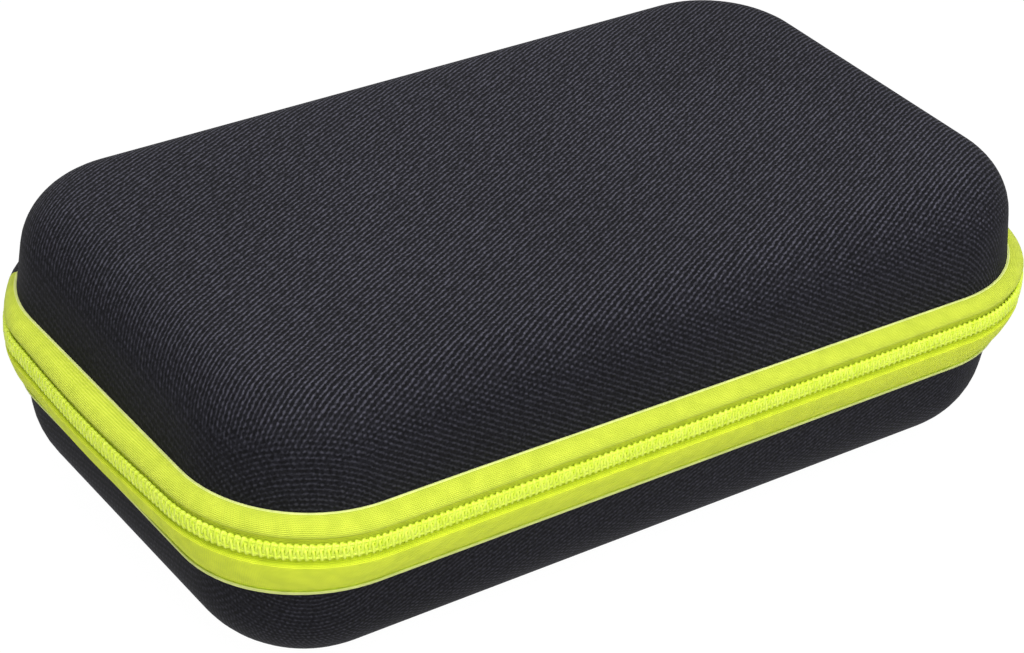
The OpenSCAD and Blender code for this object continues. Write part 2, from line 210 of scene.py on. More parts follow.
def finishMesh(name, mesh, body, material, replaced=(), mapping="route", smooth=50):
    # maps the piece, turns its faces outward and puts it on its body
    across = mesh.verts.layers.float.get("across")
    bmesh.ops.remove_doubles(mesh, verts=mesh.verts, dist=weldGap)
    bmesh.ops.recalc_face_normals(mesh, faces=mesh.faces)
    if mapping:
        uv = mesh.loops.layers.uv.new("cloth")
        for face in mesh.faces:
            middle = face.calc_center_median()
            for loop in face.loops:
                place = loop.vert.co
                if mapping == "drape":  # the cloth lies flat on top and runs down each side
                    foot = cornerFoot(place).xy
                    out = place.xy - foot
                    out = out.normalized() if out.length > 1e-6 else Vector((0, 0))
                    loop[uv].uv = foot + out * loop.vert[across]
                elif mapping == "plan":
                    loop[uv].uv = place.xy
                else:
                    near = place.lerp(middle, 0.01)  # on this face's side of a seam
                    loop[uv].uv = (alongRoute(near.x, near.y), loop.vert[across])
    data = bpy.data.meshes.new(name)
    mesh.to_mesh(data)
    mesh.free()
    piece = bpy.data.objects.new(name, data)
    bpy.context.scene.collection.objects.link(piece)
    data.materials.append(material)
    data.shade_smooth()
    data.set_sharp_from_angle(angle=math.radians(smooth))
    if body:
        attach(piece, body)
    if replaced:
        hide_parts(*replaced)
    return piece


def thicken(piece, thickness, offset=-1):
    solid = piece.modifiers.new("thickness", "SOLIDIFY")
    solid.thickness = thickness
    solid.offset = offset


# Materials

def srgb(r, g, b):  # a screen colour from 0 to 255, as linear light
    shares = (r / 255, g / 255, b / 255)
    return tuple(c / 12.92 if c <= 0.04045 else ((c + 0.055) / 1.055) ** 2.4 for c in shares)


def grey(level):
    return (level, level, level)


class Finish:  # one material and short calls for its nodes
    def __init__(self, name, colour, roughness, **sockets):
        self.material = bpy.data.materials.new(name)
        self.material.use_nodes = True
        self.nodes = self.material.node_tree.nodes
        self.links = self.material.node_tree.links
        self.shader = self.nodes["Principled BSDF"]
        self.shader.inputs["Base Color"].default_value = (*colour, 1)
        self.shader.inputs["Roughness"].default_value = roughness
        for socket, value in sockets.items():
            self.shader.inputs[socket.replace("_", " ")].default_value = value

    def add(self, kind, inputs=(), **settings):
        node = self.nodes.new("ShaderNode" + kind)
        for setting, value in settings.items():
            setattr(node, setting, value)
        for socket, value in dict(inputs).items():
            if isinstance(value, bpy.types.NodeSocket):
                self.links.new(value, node.inputs[socket])
            else:
                node.inputs[socket].default_value = value
        return node

    def math(self, operation, a, b=0.0, c=0.0):
        return self.add("Math", {0: a, 1: b, 2: c}, operation=operation).outputs[0]

    def clothPlace(self):  # the piece's own cloth map, in metres
        split = self.add("SeparateXYZ", {0: self.add("UVMap", uv_map="cloth").outputs[0]})
        return split.outputs[0], split.outputs[1]

    def mark(self, name):  # a value that the piece's points carry
        return self.add("Attribute", attribute_name=name).outputs["Fac"]

    def wave(self, place, pitch):
        return self.math("SINE", self.math("MULTIPLY", place, 2 * math.pi / pitch))

    def noise(self, scale, detail):
        place = self.add("TexCoord").outputs["Object"]
        return self.add("TexNoise", {"Vector": place, "Scale": scale, "Detail": detail}).outputs["Fac"]

    def ramp(self, factor, *stops):
        node = self.add("ValToRGB", {0: factor})
        while len(node.color_ramp.elements) < len(stops):
            node.color_ramp.elements.new(0.5)
        for element, (place, colour) in zip(node.color_ramp.elements, stops):
            element.position = place
            element.color = (*colour, 1)
        return node.outputs[0]

    def mix(self, factor, a, b, blend="MIX"):
        node = self.add("Mix", data_type="RGBA", blend_type=blend)
        for socket, value in ((node.inputs[0], factor), (node.inputs[6], a), (node.inputs[7], b)):
            if isinstance(value, bpy.types.NodeSocket):
                self.links.new(value, socket)
            else:
                socket.default_value = value if isinstance(value, float) else (*value, 1)
        return node.outputs[2]

    def colour(self, socket):
        self.links.new(socket, self.shader.inputs["Base Color"])

    def bump(self, height, distance):
        node = self.add("Bump", {"Height": height, "Distance": distance, "Strength": 1.0})
        self.links.new(node.outputs[0], self.shader.inputs["Normal"])


def makeCoverCloth():
    # a twill whose ridges run one way on the flat top and other ways where the moulding stretches it;
    # each direction has its ridges per metre of cloth, and its depth where it shows and elsewhere
    twill = dict(main=(-385, 755), mainDepth=(0.44, 0.01), front=(415, 692), frontDepth=(0.13, 0.02),
                 side=(549, -104), sideDepth=(0.06, 0.02), topFade=1.5, stray=0.6, relief=0.12 * mm,
                 dark=srgb(3, 3, 5), mid=srgb(23, 23, 28), light=srgb(94, 93, 106))
    cloth = Finish("wovenCover", twill["mid"], 0.78, Specular_IOR_Level=0.12)
    u, v = cloth.clothPlace()
    facing = cloth.add("SeparateXYZ", {0: cloth.add("NewGeometry").outputs["Normal"]})
    across, along, upward = (cloth.math("ABSOLUTE", facing.outputs[i]) for i in range(3))
    stray = cloth.math("MULTIPLY_ADD", cloth.noise(700, 2), twill["stray"], -twill["stray"] / 2)

    def ridges(rate, share, depth):  # the threads wander a little
        place = cloth.math("MULTIPLY_ADD", u, rate[0], cloth.math("MULTIPLY_ADD", v, rate[1], stray))
        return cloth.math("MULTIPLY", cloth.wave(place, 1.0), cloth.math("MULTIPLY_ADD", share, *depth))

    topShare = cloth.math("POWER", upward, twill["topFade"])
    walls = cloth.math("ADD", ridges(twill["front"], along, twill["frontDepth"]),
                       ridges(twill["side"], across, twill["sideDepth"]))
    height = cloth.math("ADD", ridges(twill["main"], topShare, twill["mainDepth"]), walls)
    level = cloth.math("MULTIPLY_ADD", height, 0.5, 0.5)
    threads = cloth.ramp(level, (0.05, twill["dark"]), (0.5, twill["mid"]), (0.95, twill["light"]))
    patches = cloth.ramp(cloth.noise(9, 4), (0.35, grey(0.86)), (0.65, grey(1.08)))
    flecks = cloth.ramp(cloth.noise(1500, 1), (0.36, grey(0.55)), (0.64, grey(1.5)))
    cloth.colour(cloth.mix(1.0, cloth.mix(1.0, threads, patches, "MULTIPLY"), flecks, "MULTIPLY"))
    cloth.bump(height, twill["relief"])
    return cloth.material


def makeTapeCloth(name, body, high, paintedGrooveTone):
    tape = dict(pale=srgb(232, 242, 148), deep=srgb(180, 206, 30), rib=0.55 * mm, warp=0.42 * mm,
                paintedGrooveShare=0.7, relief=0.05 * mm)
    cloth = Finish(name, body, 0.74, Sheen_Weight=0.08, Specular_IOR_Level=0.25)
    u, v = cloth.clothPlace()
    twill = cloth.wave(cloth.math("ADD", u, v), tape["rib"])
    height = cloth.math("MULTIPLY_ADD", twill, 0.6, cloth.wave(v, tape["warp"]))
    level = cloth.math("MULTIPLY_ADD", height, 0.25, 0.5)
    tone = cloth.ramp(level, (0.0, tape["deep"]), (0.5, body), (1.0, high))
    # painted light and shade in the groove beside the coil: on the lid's tape a lighter lime, as painted light
    # against the groove's shade; on the base's tape a darker lime, as painted shade
    tone = cloth.mix(cloth.math("MULTIPLY", cloth.mark("groove"), tape["paintedGrooveShare"]), tone, paintedGrooveTone)
    # the pale sewn edge is partly the edge's own paler thread and partly a painted highlight
    tone = cloth.mix(cloth.mark("selvedge"), tone, tape["pale"])
    worn = cloth.ramp(cloth.noise(260, 3), (0.35, (0.93, 0.94, 0.88)), (0.65, (1.05, 1.04, 1.05)))
    cloth.colour(cloth.mix(1.0, tone, worn, "MULTIPLY"))
    cloth.bump(height, tape["relief"])
    return cloth.material


def makeCoilNylon():
    coil = Finish("limeCoil", srgb(228, 246, 72), 0.42, Specular_IOR_Level=0.45, Coat_Weight=0.1)
    tone = coil.ramp(coil.noise(500, 2), (0.3, srgb(220, 241, 58)), (0.7, srgb(236, 252, 92)))
    coil.colour(tone)
    return coil.material


def makeRibbedTape(name, dark, light, pitch, alongRibs=True):
    cloth = Finish(name, dark, 0.85, Sheen_Weight=0.05, Specular_IOR_Level=0.2)
    u, v = cloth.clothPlace()
    ribs = cloth.wave(u if alongRibs else v, pitch)
    cross = cloth.wave(v if alongRibs else u, pitch * 0.6)
    height = cloth.math("MULTIPLY_ADD", cross, 0.3, ribs)
    cloth.colour(cloth.ramp(cloth.math("MULTIPLY_ADD", height, 0.35, 0.5), (0.0, dark), (1.0, light)))
    cloth.bump(height, 0.06 * mm)
    return cloth.material


def makeKnit(name, dark, light):
    knit = Finish(name, dark, 0.92, Sheen_Weight=0.12, Sheen_Roughness=0.6, Specular_IOR_Level=0.12)
    fuzz = knit.noise(650, 4)
    level = knit.math("MULTIPLY_ADD", knit.noise(40, 3), 0.5, knit.math("MULTIPLY", fuzz, 0.5))
    knit.colour(knit.ramp(level, (0.35, dark), (0.65, light)))
    knit.bump(fuzz, 0.25 * mm)
    return knit.material


def makeEnamel():
    enamel = Finish("limeEnamel", srgb(205, 228, 60), 0.28, Coat_Weight=0.5, Coat_Roughness=0.12)
    enamel.colour(enamel.ramp(enamel.noise(180, 3), (0.3, srgb(198, 222, 52)), (0.7, srgb(212, 233, 72))))
    enamel.bump(enamel.noise(1400, 2), 0.01 * mm)
    return enamel.material


def makeRubber():
    rubber = Finish("limeRubber", srgb(198, 222, 56), 0.55, Specular_IOR_Level=0.4)
    rubber.colour(rubber.ramp(rubber.noise(300, 3), (0.3, srgb(190, 214, 48)), (0.7, srgb(204, 227, 66))))
    rubber.bump(rubber.noise(2500, 2), 0.02 * mm)
    return rubber.material


coverCloth = makeCoverCloth()
# the two tapes are one lime tape: the base's is painted lighter, as painted light on its down-facing side and a
# painted highlight on its lip; each last colour is the groove's painted light on the lid and painted shade on
# the base
tapeCloth = dict(
    lid=makeTapeCloth("limeTape", srgb(214, 228, 66), srgb(228, 240, 90), srgb(238, 250, 54)),
    base=makeTapeCloth("limeTapePaintedLight", srgb(238, 254, 48), srgb(246, 255, 84), srgb(206, 228, 30)))
coilNylon = makeCoilNylon()
blackTape = makeRibbedTape("blackTape", srgb(14, 14, 16), srgb(44, 44, 48), 0.9 * mm)
elasticWeb = makeRibbedTape("elasticWeb", srgb(22, 22, 24), srgb(50, 50, 54), 1.0 * mm, False)
liningKnit = makeKnit("liningKnit", srgb(44, 44, 48), srgb(66, 66, 71))
trayFelt = makeKnit("trayFelt", srgb(34, 34, 37), srgb(54, 54, 58))
seamThread = makeRibbedTape("seamThread", srgb(34, 34, 37), srgb(74, 74, 79), 0.5 * mm)
netThread = makeRibbedTape("netThread", srgb(24, 24, 26), srgb(58, 58, 62), 0.5 * mm)
enamel = makeEnamel()
rubber = makeRubber()
coreFoam = makeKnit("coreFoam", srgb(28, 28, 30), srgb(40, 40, 43))
print("finishes made")


# Covers: one smooth skin for each shell

def makeCover(name, form, node):
    cover = dict(underBand=2.6 * mm, thick=0.7 * mm)
    mesh = bmesh.new()
    sweep(mesh, skinSection(form, 0, form["bandReach"] - cover["underBand"])[::-1], form, fullRoute)
    bmesh.ops.remove_doubles(mesh, verts=mesh.verts, dist=weldGap)
    closeTop(mesh, form)
    thicken(finishMesh(name, mesh, form["body"], coverCloth, [node], "drape"), cover["thick"])


makeCover("lidCover", lidForm, "lid_cover")
makeCover("baseCover", baseForm, "base_cover")
print("covers made")


# Zip tapes: a rounded lip at the groove, a roll up to the shell and a proud selvedge

def rollPoint(form, t, inward=0.0):  # t from 0 at the lip to 1 at the wall
    start = zipForm["chainHalf"] + zipForm["groove"] + zipForm["lipHeight"]
    reach = form["bandReach"] - inward * 0.5
    wall = wallAt(form, 0, reach) + zipForm["wallGap"] - inward
    out = plan["cornerRadius"] + zipForm["bandOut"] - inward
    arc = (math.cos(math.radians(90 * t)), math.sin(math.radians(90 * t)))
    x, z = (f * form["flatness"] + a * (1 - form["flatness"]) for f, a in zip((1 - t, t), arc))
    return wall + (out - wall) * x, start + (reach - start) * z


def tapeSection(form):  # the outside from the chain to the wall, and the inside on the way back
    tape = dict(thick=0.6 * mm, crease=0.2 * mm, lip=0.75 * mm, lipCuts=6, rollCuts=14, beadCuts=8)
    back = plan["cornerRadius"] + zipForm["tapeBack"]
    front = back + zipForm["tapeThick"]
    out = plan["cornerRadius"] + zipForm["bandOut"]
    grooveZ = zipForm["chainHalf"] + zipForm["groove"]
    outside = [(front, zipForm["tapeEdge"]), (front, grooveZ - tape["crease"]),
               (front + tape["crease"], grooveZ + 0.02 * mm)]
    for i in range(1, tape["lipCuts"] + 1):
        t = math.radians(-80 + 80 * i / tape["lipCuts"])
        outside.append((out - tape["lip"] + tape["lip"] * math.cos(t),
                        grooveZ + zipForm["lipHeight"] + tape["lip"] * math.sin(t)))
    outside += [rollPoint(form, i / tape["rollCuts"]) for i in range(1, tape["rollCuts"])]
    endX, endZ = rollPoint(form, 1)
    bead = form["selvedge"]
    for i in range(tape["beadCuts"] + 1):  # the round selvedge
        t = math.radians(form["beadFrom"] + 200 * i / tape["beadCuts"])
        outside.append((endX + form["proud"] + bead * math.cos(t), endZ - bead * 0.5 + bead * math.sin(t)))
    inside = [rollPoint(form, 1 - i / 11, tape["thick"]) for i in range(12)]
    inside += [(out - 0.9 * mm, grooveZ + 0.75 * mm), (back, grooveZ + 0.3 * mm), (back, zipForm["tapeEdge"])]
    return outside, inside


def settle(mesh, form):
    # above the lip all of the lid's mesh sinks towards the right; the base's band reaches down on the left
    lip = zipForm["chainHalf"] + zipForm["groove"] + 1.0 * mm
    for vert in mesh.verts:
        height = (vert.co.z - plan["parting"]) * form["up"]
        out = (vert.co - cornerFoot(vert.co)).normalized()
        share = 0
        if height > lip and form["up"] > 0:
            rightward = limited((vert.co.x - bandShape["narrowFrom"]) / bandShape["narrowOver"])
            share = bandShape["narrowing"] * rightward
        elif lip < height < form["bandReach"] + 1 * mm:
            share = bandShape["leftDrop"] / (form["bandReach"] - lip) * max(0, -out.x) ** 2
        drop = (height - lip) * share
        vert.co += out * form["up"] * drop * math.tan(math.radians(form["lean"]))
        vert.co.z -= drop
        vert.co = bandPlace(vert.co)


def makeTape(name, form, node):
    # the selvedge's width is in beads; postRoom keeps the edge clear of the sliders' posts
    tape = dict(selvedgeWidth=3.7, selvedgeFade=0.1 * mm, grooveReach=0.5 * mm, grooveFade=0.8 * mm,
                postRoom=1.5 * mm)
    outside, inside = tapeSection(form)
    mesh = bmesh.new()
    first, last = sweep(mesh, outside + inside, form, zipRoute, closed=True)
    across = mesh.verts.layers.float["across"]
    selvedge = mesh.verts.layers.float.new("selvedge")
    groove = mesh.verts.layers.float.new("groove")
    length = sum(math.dist(a, b) for a, b in zip(outside, outside[1:]))
    paintedHighlightFrom = length - tape["selvedgeWidth"] * form["selvedge"]
    grooveEnd = zipForm["chainHalf"] + zipForm["groove"] + tape["grooveReach"]
    for vert in mesh.verts:
        fromPlane = abs(vert.co.z - plan["parting"])
        # selvedge marks the edge that takes a painted highlight; groove marks the groove beside the coil, which
        # takes painted light on the lid's tape and painted shade on the base's
        vert[selvedge] = limited((vert[across] - paintedHighlightFrom) / tape["selvedgeFade"])
        vert[groove] = limited((grooveEnd - fromPlane) / tape["grooveFade"])
        if vert.co.x > centreX and abs(vert.co.y) <= centreY + 0.1 * mm and fromPlane < tape["postRoom"]:
            vert.co.z = plan["parting"] + form["up"] * tape["postRoom"]
    settle(mesh, form)
    closeEnds(mesh, first, last)
    finishMesh(name, mesh, form["body"], tapeCloth[form["body"]], [node])


makeTape("lidZipTape", lidForm, "lid_zip_tape")
makeTape("baseZipTape", baseForm, "base_zip_tape")
print("zip tapes made")


# Coil rows: a flattened helix of nylon on each tape, the two rows meshing in the middle

def routePoint(distance, radius):  # place and outward direction at a distance along the zip's route
    legs = [(0, wrap, 0, 2 * centreY), (3, 0, -90, 2 * centreX), (2, -90, -180, 2 * centreY),
            (1, -180, -180 - wrap, 0)]
    for corner, start, end, run in legs:
        length = math.radians(abs(end - start)) * radius
        turning = distance <= length or corner == 1
        turn = math.radians(start) - distance / radius if turning else math.radians(end)
        out = Vector((math.cos(turn), math.sin(turn), 0))
        place = Vector((*cornerCentres[corner], 0)) + out * radius
        if turning:
            return place, out
        distance -= length
        if distance <= run:
            return place + Vector((out.y, -out.x, 0)) * distance, out
        distance -= run


def makeCoil(name, form, node):
    # lean says how far along a turn has come by each share of it
    coil = dict(wire=0.41 * mm, steps=16, squareness=0.7, head=-0.55 * mm, footGap=0.04 * mm, stopTurn=4.5,
                lean=((0, 0), (0.5, 0.25), (0.75, 0.275), (1, 1)), cords=(0.7 * mm, 1.35 * mm),
                cordStep=2 * mm, parted=1.5 * mm, partHalf=14 * mm, partEase=4 * mm)
    radius = plan["cornerRadius"] + zipForm["tapeBack"] + zipForm["tapeThick"] + zipForm["coilThick"] / 2
    ends = math.radians(coil["stopTurn"]) * radius
    total = math.radians(180 + 2 * wrap) * radius + 4 * centreY + 2 * centreX
    turns = int((total - 2 * ends) / zipForm["loopPitch"]) - 1
    head, foot = coil["head"], zipForm["chainHalf"] - coil["wire"] - coil["footGap"]
    sliderAt = math.radians(wrap) * radius + centreY
    shift = 0 if form["up"] > 0 else 0.5

    def apart(distance):  # the rows part at the sliders
        return max(0, coil["parted"] * min(1, (coil["partHalf"] - abs(distance - sliderAt)) / coil["partEase"]))

    def ahead(share):
        for (a, low), (b, high) in zip(coil["lean"], coil["lean"][1:]):
            if share < b:
                return low + (high - low) * (share - a) / (b - a)

    loops, cords = [], ([], [])
    for i in range(turns * coil["steps"] + 1):
        turn, share = divmod(i / coil["steps"], 1)
        t = 2 * math.pi * share
        distance = ends + zipForm["loopPitch"] * (turn + ahead(share) + shift)
        place, out = routePoint(distance, radius)
        z = (head + foot) / 2 + (foot - head) / 2 * math.cos(t)
        lift = fuller(math.sin(t), coil["squareness"]) * (zipForm["coilThick"] / 2 - coil["wire"])
        loops.append((bandPlace(place + out * lift), max(z, apart(distance) or head)))
    for i in range(int((total - 2 * ends) / coil["cordStep"]) + 1):
        distance = ends + coil["cordStep"] * i
        place = routePoint(distance, radius)[0]
        for cord, height in zip(cords, coil["cords"]):
            cord.append((bandPlace(place), max(height, min(apart(distance) + height * 0.3, foot))))
    curve = bpy.data.curves.new(name, "CURVE")
    curve.dimensions = "3D"
    for path in (loops, *cords):
        spline = curve.splines.new("POLY")
        spline.points.add(len(path) - 1)
        for point, (place, z) in zip(spline.points, path):
            point.co = (place.x, place.y, plan["parting"] + form["up"] * z, 1)
    curve.bevel_depth = coil["wire"]
    curve.bevel_resolution = 1
    curve.use_fill_caps = True
    maker = bpy.data.objects.new(name + "Curve", curve)
    bpy.context.scene.collection.objects.link(maker)
    bpy.context.view_layer.update()
    data = bpy.data.meshes.new_from_object(maker)
    bpy.data.objects.remove(maker)
    data.name = name
    piece = bpy.data.objects.new(name, data)
    bpy.context.scene.collection.objects.link(piece)
    data.materials.clear()
    data.materials.append(coilNylon)
    data.shade_smooth()
    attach(piece, form["body"])
    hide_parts(node)


def makeStops(name, form, node):
    # the outline is in mm, from the tape's face and the parting plane
    stop = dict(turn=3.5, inset=1, edge=0.22 * mm,
                outline=((-0.1, 0.2), (1.7, 0.2), (1.8, 2.2), (1.2, 2.6), (-0.1, 2.6)))
    face = plan["cornerRadius"] + zipForm["tapeBack"] + zipForm["tapeThick"]
    section = [(face + x * mm, z * mm) for x, z in stop["outline"]]
    mesh = bmesh.new()
    start = wrap - stop["turn"] - stop["inset"]
    for corner, angle, turn in ((0, start, stop["turn"]), (1, 180 - start, -stop["turn"])):
        closeEnds(mesh, *sweep(mesh, section, form, (corner, angle, [("turn", corner, turn)]), closed=True))
    for vert in mesh.verts:
        vert.co = bandPlace(vert.co)
    edges = [e for e in mesh.edges if len(e.link_faces) == 2 and e.calc_face_angle(0) > 0.5]
    bmesh.ops.bevel(mesh, geom=edges, offset=stop["edge"], segments=2, profile=0.5, affect="EDGES",
                    clamp_overlap=True, material=-1)
    finishMesh(name, mesh, form["body"], enamel, [node], "plan")


makeStops("lidZipStops", lidForm, "lid_zip_stops")
makeStops("baseZipStops", baseForm, "base_zip_stops")
makeCoil("lidCoil", lidForm, "lid_zip_coil")
makeCoil("baseCoil", baseForm, "base_zip_coil")
print("coil rows made")


# Foam shells under the covers, with the brim that carries the zip

def makeCore(name, form, node):
    foam = dict(underBand=0.7 * mm, roll=0.75 * mm, brimRoom=0.25 * mm, fill=1.0)
    brim = zipForm["chainHalf"] + zipForm["groove"] + foam["brimRoom"]
    corner, rim = plan["cornerRadius"], layers["rim"]
    section = skinSection(form, layers["cover"], form["bandReach"] - foam["underBand"])[::-1]
    section += [rollPoint(form, 1 - i / 10, foam["roll"]) for i in range(1, 11)]
    section += [(corner + zipForm["tapeBack"], brim), (corner, brim), (corner, rim)]
    section += skinSection(form, layers["core"], rim)
    mesh = bmesh.new()
    sweep(mesh, section, form, fullRoute)
    bmesh.ops.remove_doubles(mesh, verts=mesh.verts, dist=weldGap)
    settle(mesh, form)
    closeTop(mesh, form, 2)
    finishMesh(name, mesh, form["body"], coreFoam, [node], "drape")


makeCore("lidCore", lidForm, "lid_core")
makeCore("baseCore", baseForm, "base_core")
print("foam shells made")


# Linings: brushed knit over the whole inside

def makeLining(name, form, node):
    mesh = bmesh.new()
    section = skinSection(form, layers["wall"], layers["rim"])[::-1]
    sweep(mesh, section, form, fullRoute)
    bmesh.ops.remove_doubles(mesh, verts=mesh.verts, dist=weldGap)
    closeTop(mesh, form)
    piece = finishMesh(name, mesh, form["body"], liningKnit, [node], "drape")
    piece.data.flip_normals()  # the knit faces into the case
    thicken(piece, 0.5 * mm)


makeLining("lidLining", lidForm, "lid_lining")
makeLining("baseLining", baseForm, "base_lining")
print("linings made")


# Rim bindings: folded tape over each cut edge, with a row of stitches

def stitchRow(name, body, places, size):
    # short thread lozenges: each place is a point, the way it runs and the way it faces
    mesh = bmesh.new()
    bmesh.ops.create_cube(mesh, size=1)
    bmesh.ops.scale(mesh, vec=(0.6, 1, 1), verts=mesh.verts)
    bmesh.ops.translate(mesh, vec=(0, 0, 0.2), verts=mesh.verts)  # its foot is sunk in the cloth
    for tip in (-0.5, 0.5):  # each end is drawn out to a point
        end = [face for face in mesh.faces if all(v.co.x * tip > 0 for v in face.verts)]
        bmesh.ops.poke(mesh, faces=end)["verts"][0].co = (tip, 0, 0)
    corners = mesh.verts[:]
    pattern = corners + mesh.edges[:] + mesh.faces[:]
    for point, along, facing in places:
        along, facing = along.normalized(), facing.normalized()
        turned = Matrix((along * size[0], along.cross(facing) * size[1], facing * size[2])).transposed()
        copy = bmesh.ops.duplicate(mesh, geom=pattern)["geom"]
        bmesh.ops.transform(mesh, matrix=Matrix.Translation(point) @ turned.to_4x4(),
                            verts=[g for g in copy if isinstance(g, bmesh.types.BMVert)])
    bmesh.ops.delete(mesh, geom=corners, context="VERTS")
    finishMesh(name, mesh, body, seamThread, (), "plan")


def ringPlaces(radius, z, pitch, facing, frontOf=math.inf):
    # stitch places all round the case at a distance from the corner centres; facing is (up, out)
    spots = []
    for k, centre in enumerate(cornerCentres):
        centre, following = Vector(centre), Vector(cornerCentres[(k + 1) % 4])
        turns = round(math.radians(90) * radius / pitch)
        runs = round((following - centre).length / pitch)
        spots += [(centre, 90 * k + 90 * (i + 0.5) / turns) for i in range(turns)]
        spots += [(centre.lerp(following, (i + 0.5) / runs), 90 * (k + 1)) for i in range(runs)]
    places = []
    for centre, angle in spots:
        out = Vector((math.cos(math.radians(angle)), math.sin(math.radians(angle)), 0))
        point = Vector((centre.x, centre.y, z)) + out * radius
        if point.y < frontOf:
            places.append((point, Vector((-out.y, out.x, 0)), Vector((0, 0, facing[0])) + out * facing[1]))
    return places


def makeBinding(name, form, node):
    tape = dict(depth=5.5 * mm, thick=0.5 * mm, rim=0.05 * mm, skin=0.02 * mm, puff=0.08 * mm,
                stitchAt=3.9 * mm, stitchPitch=3.4 * mm, stitch=(2.2 * mm, 0.45 * mm, 0.3 * mm))
    corner, rim, thick = plan["cornerRadius"], tape["rim"], tape["thick"]

    def inner(z, more):
        return wallAt(form, layers["wall"] + more, z)

    section = [(corner + tape["skin"], layers["rim"]), (corner, rim + 0.15 * mm), (corner - 0.3 * mm, rim)]
    section += [(inner(rim, thick) + 0.4 * mm, rim), (inner(rim, thick) + 0.1 * mm, rim + 0.12 * mm)]
    section += [(inner(z * mm, thick + tape["puff"] * math.sin(z * 0.9)), z * mm)
                for z in (0.6, 1.6, 2.6, 3.6, 4.6, 5.2)]
    section += [(inner(tape["depth"], thick * 0.5), tape["depth"]),
                (inner(tape["depth"] - 0.2 * mm, tape["skin"]), tape["depth"] - 0.1 * mm),
                (inner(layers["rim"], tape["skin"]), layers["rim"])]
    mesh = bmesh.new()
    sweep(mesh, section, form, fullRoute, closed=True)
    finishMesh(name, mesh, form["body"], blackTape, [node])
    places = ringPlaces(inner(tape["stitchAt"], thick), plan["parting"] + form["up"] * tape["stitchAt"],
                        tape["stitchPitch"], (0, -1))
    stitchRow(name + "Stitches", form["body"], places, tape["stitch"])


makeBinding("lidBinding", lidForm, "lid_binding")
makeBinding("baseBinding", baseForm, "base_binding")
print("bindings made")


# Cloth hinge: ribbed outer strip over both brims and an inner tape behind it

def makeHingeStrip():
    hinge = dict(thick=0.55 * mm, stand=0.1 * mm, levels=(-3, -1.5, 0, 1.5, 3), cuts=10,
                 y=0.07, foldHalf=3.4 * mm, midRadius=35 * mm)

    def skin(inward):  # from the base's wall, over both brims, to the lid's wall
        out = plan["cornerRadius"] + zipForm["bandOut"] + hinge["stand"] - inward
        rise = [rollPoint(lidForm, i / hinge["cuts"], inward) for i in range(hinge["cuts"] + 1)]
        fall = [rollPoint(baseForm, i / hinge["cuts"], inward) for i in range(hinge["cuts"] + 1)]
        return [(x, -z) for x, z in fall[::-1]] + [(out, z * mm) for z in hinge["levels"]] + rise

    outer, inner = skin(0.0), skin(hinge["thick"])
    mesh = bmesh.new()
    first, last = sweep(mesh, outer + inner[::-1], lidForm, hingeRoute, closed=True)
    settle(mesh, lidForm)
    closeEnds(mesh, first, last)
    strip = finishMesh("hingeStrip", mesh, None, blackTape, ["hinge_strip"])
    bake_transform(strip, "base", "lid", start=(0, hinge["y"], plan["parting"] - hinge["foldHalf"]),
             end=(0, hinge["y"], plan["parting"] + hinge["foldHalf"]))


def makeInnerTape():
    tape = dict(outside=0.05 * mm, inside=0.6 * mm, brimRoom=0.2 * mm, cuts=8, y=0.07)
    back = plan["cornerRadius"] + zipForm["tapeBack"]
    brim = zipForm["chainHalf"] + zipForm["groove"] + tape["brimRoom"]
    heights = [-brim + 2 * brim * i / tape["cuts"] for i in range(tape["cuts"] + 1)]
    section = [(back - tape["outside"], z) for z in heights]
    section += [(back - tape["inside"], z) for z in heights[::-1]]
    mesh = bmesh.new()
    first, last = sweep(mesh, section, lidForm, hingeRoute, closed=True)
    for vert in mesh.verts:
        vert.co = bandPlace(vert.co)
    closeEnds(mesh, first, last)
    piece = finishMesh("hingeInnerTape", mesh, None, blackTape, ["hinge_inner_tape"])
    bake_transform(piece, "base", "lid", start=(0, tape["y"], plan["parting"] - brim),
             end=(0, tape["y"], plan["parting"] + brim))


makeHingeStrip()
makeInnerTape()
print("cloth hinge made")


# Foam tray: the CAD solid's own form with pressed, rounded edges and a felt face

def makeTray():
    tray = dict(edge=1.1 * mm, flatAngle=1.5, edgeAngle=40, smoothAngle=28, fill=0.95)
    mesh = bmesh.new()
    mesh.from_mesh(nodes["foam_tray"].data)
    bmesh.ops.transform(mesh, matrix=nodes["foam_tray"].matrix_world, verts=mesh.verts)
    bmesh.ops.remove_doubles(mesh, verts=mesh.verts, dist=2 * weldGap)
    bmesh.ops.dissolve_limit(mesh, angle_limit=math.radians(tray["flatAngle"]), verts=mesh.verts,
                             edges=mesh.edges)
    top = max(v.co.z for v in mesh.verts)
    edges = [e for e in mesh.edges if len(e.link_faces) == 2
             and e.calc_face_angle(0) > math.radians(tray["edgeAngle"])
             and all(v.co.z > top - 0.1 * mm for v in e.verts)]
    bmesh.ops.bevel(mesh, geom=edges, offset=tray["edge"], segments=3, profile=0.5, affect="EDGES",
                    clamp_overlap=True, material=-1)
    piece = finishMesh("foamTray", mesh, "base", trayFelt, ["foam_tray"], mapping=None,
                       smooth=tray["smoothAngle"])


makeTray()
print("tray made")


# Elastic strap over the shaver, its sewn tabs, and the pocket's hem

